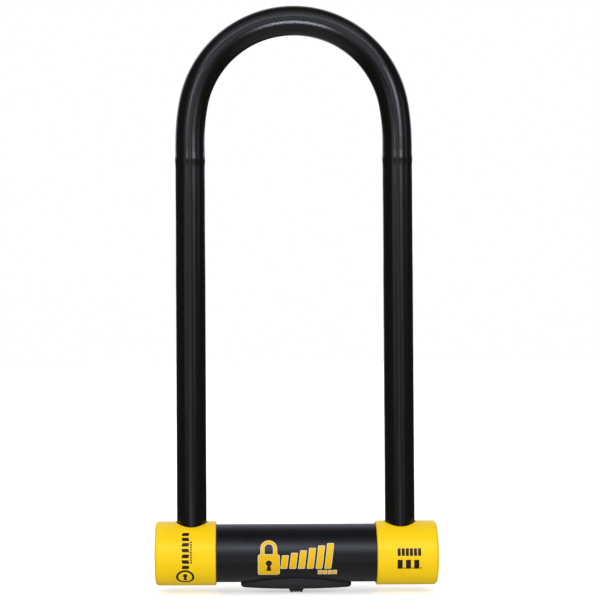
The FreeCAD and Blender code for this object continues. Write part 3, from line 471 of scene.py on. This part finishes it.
def rod_line(low, step):
    """Points and directions along the rod's centre line, from the right foot over to the left.

    The line is a straight leg, an arc of twice the arch's radius, the arch itself, and the same
    again mirrored.  Each stretch is sampled evenly, about one step apart.
    """
    lean = np.arccos((BLEND_RADIUS - LEG_X) / (BLEND_RADIUS - ARCH_RADIUS))
    blend_z = ARCH_CENTRE - (BLEND_RADIUS - ARCH_RADIUS) * np.sin(lean)
    blend_x = LEG_X - BLEND_RADIUS
    rise = np.arange(low, blend_z, step)
    leg = np.stack([np.full_like(rise, LEG_X), rise, np.zeros_like(rise), np.ones_like(rise)], 1)
    turn = np.linspace(0, lean, max(8, int(BLEND_RADIUS * lean / step)), endpoint=False)
    blend = np.stack(
        [
            blend_x + BLEND_RADIUS * np.cos(turn),
            blend_z + BLEND_RADIUS * np.sin(turn),
            -np.sin(turn),
            np.cos(turn),
        ],
        1,
    )
    count = int(ARCH_RADIUS * (pi / 2 - lean) / step)
    sweep = np.linspace(lean, pi / 2, count)
    arch = np.stack(
        [
            ARCH_RADIUS * np.cos(sweep),
            ARCH_CENTRE + ARCH_RADIUS * np.sin(sweep),
            -np.sin(sweep),
            np.cos(sweep),
        ],
        1,
    )
    half = np.concatenate([leg, blend, arch])
    other = half[:-1][::-1] * np.array([-1, 1, 1, -1])
    return np.concatenate([half, other])


RIPPLE_HEIGHT = 251 * MM
RIPPLE_SWELL = 0.26 * MM
RIPPLE_LENGTH = 2.2 * MM
SLOW_WAVE, SLOW_LENGTH = 0.02 * MM, 11 * MM
QUICK_WAVE, QUICK_LENGTH = 0.015 * MM, 4.3 * MM
WAVE_ROOM = 0.04 * MM
LINE_STEP = 1.5 * MM
LEG_SIDES = 96


def make_leg_jacket():
    """The vinyl jacket: a circle carried along the rod's line.

    Its radius is the jacket's, plus a small bell-shaped swell where each leg's bend begins and a
    slow uneven waviness of a few hundredths of a millimetre.  The two ends turn in to the rod.
    """
    line = rod_line(JACKET_LOW.z, LINE_STEP)
    across = np.linspace(0, 2 * pi, LEG_SIDES, endpoint=False)
    height = line[:, 1]
    swell = RIPPLE_SWELL * np.exp(-(((height - RIPPLE_HEIGHT) / RIPPLE_LENGTH) ** 2))
    run = np.concatenate([[0], np.cumsum(np.hypot(*np.diff(line[:, :2], axis=0).T))])
    wave = SLOW_WAVE * np.sin(run / SLOW_LENGTH) + QUICK_WAVE * np.sin(run / QUICK_LENGTH + 1)
    radius = LEG_RADIUS - WAVE_ROOM + swell + wave
    inner = np.full(1, ROD_RADIUS)
    radius = np.concatenate([inner, radius, inner])
    line = np.concatenate([line[:1], line, line[-1:]])
    run = np.concatenate([run[:1], run, run[-1:]])
    outward = np.stack([line[:, 3], -line[:, 2]], 1)
    ring_x = line[:, :1] + radius[:, None] * np.cos(across) * outward[:, :1]
    ring_z = line[:, 1:2] + radius[:, None] * np.cos(across) * outward[:, 1:]
    ring_y = radius[:, None] * np.sin(across) + 0 * line[:, :1]
    points = np.stack([ring_x, ring_y, ring_z], -1).reshape(-1, 3)
    faces = grid_faces(len(line), LEG_SIDES, wrap=True)
    lengthwise = np.repeat(run[:, None], LEG_SIDES, 1)
    around = np.abs(np.tile(across / pi - 1, (len(line), 1)))
    uv = np.stack([lengthwise, around], -1).reshape(-1, 2)
    jacket = make_piece("shackle_jacket_skin", points, faces, "leg", "shackle", uv)
    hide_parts("shackle_jacket")
    return jacket


leg_jacket = make_leg_jacket()

# ------------------------------------------------------------------ printed marks

INK = 0.03 * MM
OUTLINE = 0.02 * MM
TAPER_ROWS, TAPER_COLUMNS = 5, 3
OVAL_SIDES, CORNER_STEPS = 48, 6
BAR_CUTS, CAP_CUTS = 14, 6
CORE_SHARE = 0.02


def wrap_on_bar(flat, radius):
    """Flat print places (x, arc) laid on a bar about X: arc 0 faces -Y, and rises over the front."""
    turn = flat[:, 1] / radius
    return np.stack([flat[:, 0], -radius * np.cos(turn), radius * np.sin(turn)], 1)


def taper(middle, low, high, half_low, half_high, rows=TAPER_ROWS):
    """An upright filled strip about a middle line, its half width changing from low to high."""
    u = np.linspace(-1, 1, TAPER_COLUMNS)[None, :]
    v = np.linspace(0, 1, rows)[:, None]
    across = middle + u * (half_low * (1 - v) + half_high * v)
    along = low + (high - low) * v + 0 * u
    points = np.stack([across, along], -1).reshape(-1, 2)
    return points, grid_faces(rows, TAPER_COLUMNS, wrap=False)


def band(inner, outer):
    """A closed band between two closed outlines of the same number of places."""
    points = np.concatenate([outer, inner])
    return points, grid_faces(2, len(outer), wrap=True)


def oval(centre, half_width, half_height):
    """An outline of centre + (half width x cos, half height x sin) over one turn."""
    turn = np.linspace(0, 2 * pi, OVAL_SIDES, endpoint=False)
    return np.array(centre) + np.stack([half_width * np.cos(turn), half_height * np.sin(turn)], 1)


def filled_oval(centre, half_width, half_height):
    """An oval filled by a band that shrinks to its middle."""
    rim = oval(centre, half_width, half_height)
    core = oval(centre, half_width * CORE_SHARE, half_height * CORE_SHARE)
    return band(core, rim)


def rounded_block(centre, half_width, half_height, corner, slant=0.0):
    """A filled rounded oblong, leaning by the slant, built as a band shrinking to its middle."""
    turn = np.linspace(0, pi / 2, CORNER_STEPS)
    quarter = np.stack([np.cos(turn), np.sin(turn)], 1)
    rim = []
    for flip_x, flip_y in ((1, 1), (-1, 1), (-1, -1), (1, -1)):
        arc = quarter if flip_x * flip_y > 0 else quarter[::-1]
        place = np.array([half_width - corner, half_height - corner]) + corner * arc
        rim.append(place * np.array([flip_x, flip_y]))
    rim = np.concatenate(rim)
    rim[:, 0] += slant * rim[:, 1]
    core = rim * CORE_SHARE
    return band(core + centre, rim + centre)


def join(shapes):
    """Several flat shapes as one set of places and faces."""
    places, faces, start = [], [], 0
    for points, quads in shapes:
        places.append(points)
        faces.append(quads + start)
        start += len(points)
    return np.concatenate(places), np.concatenate(faces)


def finer(points, faces, cuts):
    """Split every quad of a flat shape evenly, so that it can lie round a bar."""
    corner = points[faces]
    u = np.linspace(0, 1, cuts + 1)
    grid_u, grid_v = np.meshgrid(u, u)
    grid_u, grid_v = grid_u.ravel()[None, :, None], grid_v.ravel()[None, :, None]
    low = corner[:, None, 0] * (1 - grid_u) + corner[:, None, 1] * grid_u
    high = corner[:, None, 3] * (1 - grid_u) + corner[:, None, 2] * grid_u
    places = (low * (1 - grid_v) + high * grid_v).reshape(-1, 2)
    cell = grid_faces(cuts + 1, cuts + 1, wrap=False)
    offsets = np.arange(len(faces))[:, None, None] * (cuts + 1) ** 2
    return places, (cell[None] + offsets).reshape(-1, 4)


def print_on_bar(name, shapes, radius, lift, finish, cuts=BAR_CUTS):
    """Lay the flat shapes on the bar, a film's thickness above it, facing out."""
    points, faces = finer(*join(shapes), cuts)
    placed = wrap_on_bar(points, radius + lift)
    centre = placed[faces].mean(1)
    edge_a = placed[faces[:, 1]] - placed[faces[:, 0]]
    edge_b = placed[faces[:, 3]] - placed[faces[:, 0]]
    facing = (np.cross(edge_a, edge_b) * (centre * np.array([0, 1, 1]))).sum(1)
    faces = np.where((facing < 0)[:, None], faces[:, ::-1], faces)
    return make_piece(name, placed, faces, finish, "crossbar")


# A padlock sign and a row of rising strength bars stand for the maker's print on the crossbar.
SIGN_X = -17.5 * MM
SIGN_ARC = -3.2 * MM
SIGN_HALF = 6.6 * MM
SIGN_HALF_TALL = 7.0 * MM
BODY_ARC = SIGN_ARC - 2.6 * MM
BOW_ARC = SIGN_ARC + 8.2 * MM
POST_FOOT = SIGN_ARC + 3.0 * MM
BOW_REACH = 5.0 * MM
BOW_THICK = 2.1 * MM
BOW_STEPS = 25
BAR_COUNT = 6
BAR_PITCH = 5.6 * MM
BAR_FIRST = -7.6 * MM
BAR_FOOT = -8.0 * MM
BAR_HALF = 1.9 * MM
BAR_SHORTEST = 8.5 * MM
BAR_RISE = 1.5 * MM
BAR_SLANT = 0.12
BLOCK_COUNT = 4
BLOCK_FIRST = 14.6 * MM
BLOCK_PITCH = 3.1 * MM
BLOCK_ARC = -11.0 * MM
PRINT_RIM = 0.27 * MM


def padlock_shapes(grow):
    """A padlock sign: a rounded body, a bow of a half ring on two posts, all grown by a rim."""
    middle = np.array([SIGN_X, BODY_ARC])
    body = rounded_block(middle, SIGN_HALF + grow, SIGN_HALF_TALL + grow, 1.6 * MM)
    turn = np.linspace(0, pi, BOW_STEPS)
    ring = np.stack([np.cos(turn), np.sin(turn)], 1)
    bow_centre = np.array([SIGN_X, BOW_ARC])
    outer = bow_centre + (BOW_REACH + grow) * ring
    inner = bow_centre + (BOW_REACH - BOW_THICK - grow) * ring
    bow = np.concatenate([outer, inner]), grid_faces(2, BOW_STEPS, wrap=False)
    posts = []
    half = BOW_THICK / 2 + grow
    for side in (-1, 1):
        post = SIGN_X + side * (BOW_REACH - BOW_THICK / 2)
        posts.append(taper(post, POST_FOOT, BOW_ARC, half, half))
    return [body, bow, *posts]


def strength_bars(grow):
    """Slanted bars of one foot line whose heights rise to the right."""
    shapes = []
    for index in range(BAR_COUNT):
        tall = BAR_SHORTEST + BAR_RISE * index
        centre = np.array([BAR_FIRST + index * BAR_PITCH, BAR_FOOT + tall / 2])
        shapes.append(
            rounded_block(centre, BAR_HALF + grow, tall / 2 + grow, 0.6 * MM, slant=BAR_SLANT)
        )
    return shapes


def small_blocks(grow):
    """A short row of small blocks under the tallest bars."""
    shapes = []
    for index in range(BLOCK_COUNT):
        centre = np.array([BLOCK_FIRST + index * BLOCK_PITCH, BLOCK_ARC])
        shapes.append(rounded_block(centre, 1.1 * MM + grow, 1.5 * MM + grow, 0.3 * MM))
    return shapes


def make_bar_print():
    """Each group twice, a cream rim under an amber fill, and a black keyhole over the sign."""
    groups = {"sign": padlock_shapes, "bars": strength_bars, "blocks": small_blocks}
    for name, shapes in groups.items():
        rim, fill = shapes(PRINT_RIM), shapes(0.0)
        print_on_bar(f"print_{name}_rim", rim, SLEEVE_RADIUS, OUTLINE, "cream")
        print_on_bar(f"print_{name}_fill", fill, SLEEVE_RADIUS, OUTLINE + INK, "amber")
    round_top = filled_oval((SIGN_X, SIGN_ARC - 1.2 * MM), 1.9 * MM, 1.9 * MM)
    slot = taper(SIGN_X, SIGN_ARC - 6.6 * MM, SIGN_ARC - 1.8 * MM, 1.5 * MM, 0.8 * MM, rows=6)
    keyhole_lift = OUTLINE + 2 * INK
    print_on_bar(
        "print_sign_keyhole", [round_top, slot], SLEEVE_RADIUS, keyhole_lift, "black"
    )


# Plain marks stand for the black print on the caps.
LEFT_MARKS_X = -70.0 * MM
RING_ARC = -14.2 * MM
LADDER_X = LEFT_MARKS_X + 0.3 * MM
LADDER_COUNT, LADDER_FIRST, LADDER_PITCH = 7, -6.6 * MM, 3.6 * MM
LADDER_SLANT = 0.25
DOTS_X = LEFT_MARKS_X + 3.8 * MM
DOT_COUNT, DOT_FIRST, DOT_PITCH = 9, -3.4 * MM, 1.6 * MM
UPPER_COUNT, UPPER_FIRST, UPPER_PITCH, UPPER_ARC = 6, 64.0 * MM, 2.55 * MM, 2.6 * MM
LOWER_COUNT, LOWER_FIRST, LOWER_PITCH, LOWER_ARC = 3, 64.6 * MM, 5.2 * MM, -5.2 * MM
STOP_PLACE = np.array([2.6, -2.55]) * MM


def left_cap_shapes():
    """A ring with a keyhole, a ladder of leaning blocks above it and a dotted line beside that."""
    middle = (LEFT_MARKS_X, RING_ARC)
    inner, outer = oval(middle, 4.4 * MM, 4.3 * MM), oval(middle, 5.8 * MM, 5.7 * MM)
    shapes = [
        band(inner, outer),
        filled_oval((LEFT_MARKS_X, RING_ARC + 1.2 * MM), 1.4 * MM, 1.5 * MM),
        taper(LEFT_MARKS_X, RING_ARC - 3.0 * MM, RING_ARC + 0.8 * MM, 1.1 * MM, 0.55 * MM),
    ]
    for index in range(LADDER_COUNT):
        centre = np.array([LADDER_X, LADDER_FIRST + LADDER_PITCH * index])
        slant = LADDER_SLANT * (-1) ** index
        shapes.append(rounded_block(centre, 2.2 * MM, 1.15 * MM, 0.25 * MM, slant=slant))
    for index in range(DOT_COUNT):
        centre = np.array([DOTS_X, DOT_FIRST + DOT_PITCH * index])
        shapes.append(rounded_block(centre, 0.5 * MM, 0.5 * MM, 0.1 * MM))
    return shapes


def right_cap_shapes():
    """An upper row of narrow blocks over a lower row of wide ones, each with a small stop."""
    shapes = []
    for index in range(UPPER_COUNT):
        centre = np.array([UPPER_FIRST + UPPER_PITCH * index, UPPER_ARC])
        shapes.append(rounded_block(centre, 0.95 * MM, 2.35 * MM, 0.25 * MM))
    for index in range(LOWER_COUNT):
        centre = np.array([LOWER_FIRST + LOWER_PITCH * index, LOWER_ARC])
        shapes.append(rounded_block(centre, 1.6 * MM, 3.0 * MM, 0.3 * MM))
        shapes.append(rounded_block(centre + STOP_PLACE, 0.5 * MM, 0.45 * MM, 0.1 * MM))
    return shapes


def make_cap_print():
    """The black marks of both caps, one piece for each cap."""
    sides = {"left": left_cap_shapes(), "right": right_cap_shapes()}
    for side, shapes in sides.items():
        name = f"print_cap_{side}"
        print_on_bar(name, shapes, CAP_RADIUS, INK, "black", CAP_CUTS)


make_bar_print()
make_cap_print()

# ------------------------------------------------------------------ stage, light and camera

FLOOR = cad_box[0].z - 0.1 * MM
STAGE_SPAN = 9.0
CENTRE = Vector((0, 0, 0.16))
COOL_WHITE = (0.88, 0.95, 1.12)
WHITE = (1, 1, 1)
NEAR, FAR = 3.0, 12.0
FILL_SPREAD = 80
DIM_ROOM, PALE_BELOW = 0.04, 0.34
BELOW_STARTS, BELOW_ENDS = -0.5, -0.85


def make_floor():
    """A plain pale floor that the lock just touches; the lock neither mirrors it nor is lit by it."""
    shop = Workshop.material("floor_pale")
    tone = shop.noise(shop.place, 3.0, 2.0)
    material = shop.finish(
        Base_Color=shop.blend(tone, (0.74, 0.74, 0.74), (0.77, 0.77, 0.77)),
        Roughness=0.9,
        Specular_IOR_Level=0.0,
        Emission_Color=WHITE,
        Emission_Strength=0.5,
    )
    points = np.array([[-1, -1, 0], [1, -1, 0], [1, 1, 0], [-1, 1, 0]], float) * STAGE_SPAN
    points[:, 2] = FLOOR
    mesh = bpy.data.meshes.new("floor")
    mesh.from_pydata(points.tolist(), [], [(0, 1, 2, 3)])
    floor = bpy.data.objects.new("floor", mesh)
    bpy.context.scene.collection.objects.link(floor)
    mesh.materials.append(material)
    floor.visible_glossy = False
    floor.visible_diffuse = False
    floor.visible_shadow = False


def direction(azimuth, elevation):
    """Azimuth 0 is the front (-Y), positive to the right; elevation is up."""
    turn, rise = radians(azimuth), radians(elevation)
    return Vector((np.sin(turn) * np.cos(rise), -np.cos(turn) * np.cos(rise), np.sin(rise)))


def make_group(name, members):
    """A collection of these pieces, for a light that only they reflect."""
    group = bpy.data.collections.new(name)
    for thing in members:
        group.objects.link(thing)
    return group


def hang(name, light, away):
    """A lamp turned to shine back along this direction; the caller says where it hangs."""
    lamp = bpy.data.objects.new(name, light)
    lamp.rotation_euler = (-away).to_track_quat("-Z", "Y").to_euler()
    bpy.context.scene.collection.objects.link(lamp)
    return lamp


def make_gloss_light(name, azimuth, elevation, width, height, radiance, far, group):
    """A soft rectangle seen only in reflections, its size in degrees as the lock sees it."""
    light = bpy.data.lights.new(name, "AREA")
    light.shape = "RECTANGLE"
    light.size = 2 * far * np.tan(radians(width) / 2)
    light.size_y = 2 * far * np.tan(radians(height) / 2)
    light.energy = radiance * pi * light.size * light.size_y
    light.color = COOL_WHITE
    away = direction(azimuth, elevation)
    lamp = hang(name, light, away)
    lamp.location = CENTRE + away * far
    lamp.visible_diffuse = False
    lamp.visible_camera = False
    if group is not None:
        lamp.light_linking.receiver_collection = group


def make_fill_light(name, azimuth, elevation, strength):
    """A wide, soft sun that lights colours but makes no highlight."""
    light = bpy.data.lights.new(name, "SUN")
    light.energy = strength
    light.angle = radians(FILL_SPREAD)
    hang(name, light, direction(azimuth, elevation)).visible_glossy = False


# Name, azimuth, elevation, width and height in degrees, radiance, distance.
SHACKLE_LIGHTS = [
    ("softbox_arch", 0, 38, 70, 14, 2.1, NEAR),
    ("softbox_arch_high", 0, 60, 70, 26, 0.6, NEAR),
    ("window_left", -36, 7, 20, 24, 0.56, NEAR),
    ("window_middle", -3, 7, 16, 24, 0.55, NEAR),
    ("window_right", 28, 7, 14, 24, 0.55, NEAR),
    ("window_upper_left", -21, 15, 15, 12, 3.6, NEAR),
    ("window_upper_middle", 3, 15, 14, 12, 1.0, NEAR),
    ("window_upper_right", 28, 15, 14, 12, 5.6, NEAR),
    ("window_upper_side", 66, 12, 16, 16, 0.6, NEAR),
    ("strip_arch", 1, -19, 14, 2.6, 90, FAR),
    ("rim_left", -145, 20, 30, 24, 0.9, NEAR),
    ("rim_right", 145, 20, 30, 24, 0.9, NEAR),
    ("window_behind", 192, -14, 24, 40, 0.7, NEAR),
]
CROSSBAR_LIGHTS = [
    ("softbox_bar", 0, 25, 100, 9, 8.5, NEAR),
    ("softbox_bar_high", 0, 45, 90, 14, 0.3, NEAR),
    ("strip_bar", 0, -21, 100, 2, 6.0, FAR),
]
COMMON_LIGHTS = [
    ("rim_above", 180, 45, 70, 30, 0.7, NEAR),
    ("softbox_behind", 180, 18, 44, 30, 1.0, NEAR),
]

# Name, azimuth, elevation, strength.
FILL_LIGHTS = [
    ("fill_front", -10, 12, 1.58),
    ("fill_above", 15, 62, 1.3),
    ("fill_below", 5, -35, 1.2),
    ("fill_behind", 200, 40, 1.3),
    ("fill_left", -95, 30, 0.8),
    ("fill_right", 95, 30, 0.8),
]


def make_lights():
    """Reflections of the shackle and of everything else are lit apart; the fill is shared."""
    pieces = [thing for thing in bpy.data.objects if thing.type == "MESH"]
    shackle = make_group("lit_shackle", [leg_jacket])
    crossbar = make_group("lit_crossbar", [thing for thing in pieces if thing is not leg_jacket])
    for lights, group in ((SHACKLE_LIGHTS, shackle), (CROSSBAR_LIGHTS, crossbar), (COMMON_LIGHTS, None)):
        for numbers in lights:
            make_gloss_light(*numbers, group)
    for numbers in FILL_LIGHTS:
        make_fill_light(*numbers)


def make_world():
    """White to the eye; to everything else a dim room, paler well below the lock."""
    world = bpy.data.worlds.new("studio")
    bpy.context.scene.world = world
    shop = Workshop(world)
    ray = shop.add("ShaderNodeTexCoord", {}, {}, "Generated")
    below = shop.add(
        "ShaderNodeMapRange",
        {"interpolation_type": "SMOOTHSTEP"},
        {
            "Value": shop.part(ray, "Z"),
            "From Min": BELOW_STARTS,
            "From Max": BELOW_ENDS,
            "To Min": DIM_ROOM,
            "To Max": PALE_BELOW,
        },
    )
    seen = shop.add("ShaderNodeLightPath", {}, {}, "Is Camera Ray")
    inputs = {MIX_AMOUNT: seen, MIX_NUMBER_A: below, MIX_NUMBER_B: 1.0}
    strength = shop.add("ShaderNodeMix", {"data_type": "FLOAT"}, inputs, MIX_NUMBER_OUT)
    glow = shop.add("ShaderNodeBackground", {}, {"Color": (*WHITE, 1), "Strength": strength})
    shop.add("ShaderNodeOutputWorld", {}, {"Surface": glow})


SENSOR, LENS, SHIFT = 36, 104, 0.1
YAW, PITCH, ROLL = -0.0043, 0.0198, -0.0053
CAMERA_PLACE = (-0.030, -1.107, 0.13925)


def make_camera():
    """The camera stands left of the lock and looks almost straight on; a lens shift frames it."""
    camera_data = bpy.data.cameras.new("camera")
    camera_data.sensor_width = SENSOR
    camera_data.lens = LENS
    camera_data.shift_x = SHIFT
    ahead = Vector((np.sin(YAW) * np.cos(PITCH), np.cos(YAW) * np.cos(PITCH), np.sin(PITCH)))
    level = Vector((np.cos(YAW), -np.sin(YAW), 0))
    upright = level.cross(ahead)
    right = level * np.cos(ROLL) + upright * np.sin(ROLL)
    up = right.cross(ahead)
    camera = bpy.data.objects.new("camera", camera_data)
    camera.location = CAMERA_PLACE
    camera.rotation_euler = Matrix((right, up, -ahead)).transposed().to_euler()
    bpy.context.scene.collection.objects.link(camera)
    bpy.context.scene.camera = camera


make_floor()
make_world()
make_lights()
make_camera()
bpy.context.scene.view_settings.view_transform = "Standard"
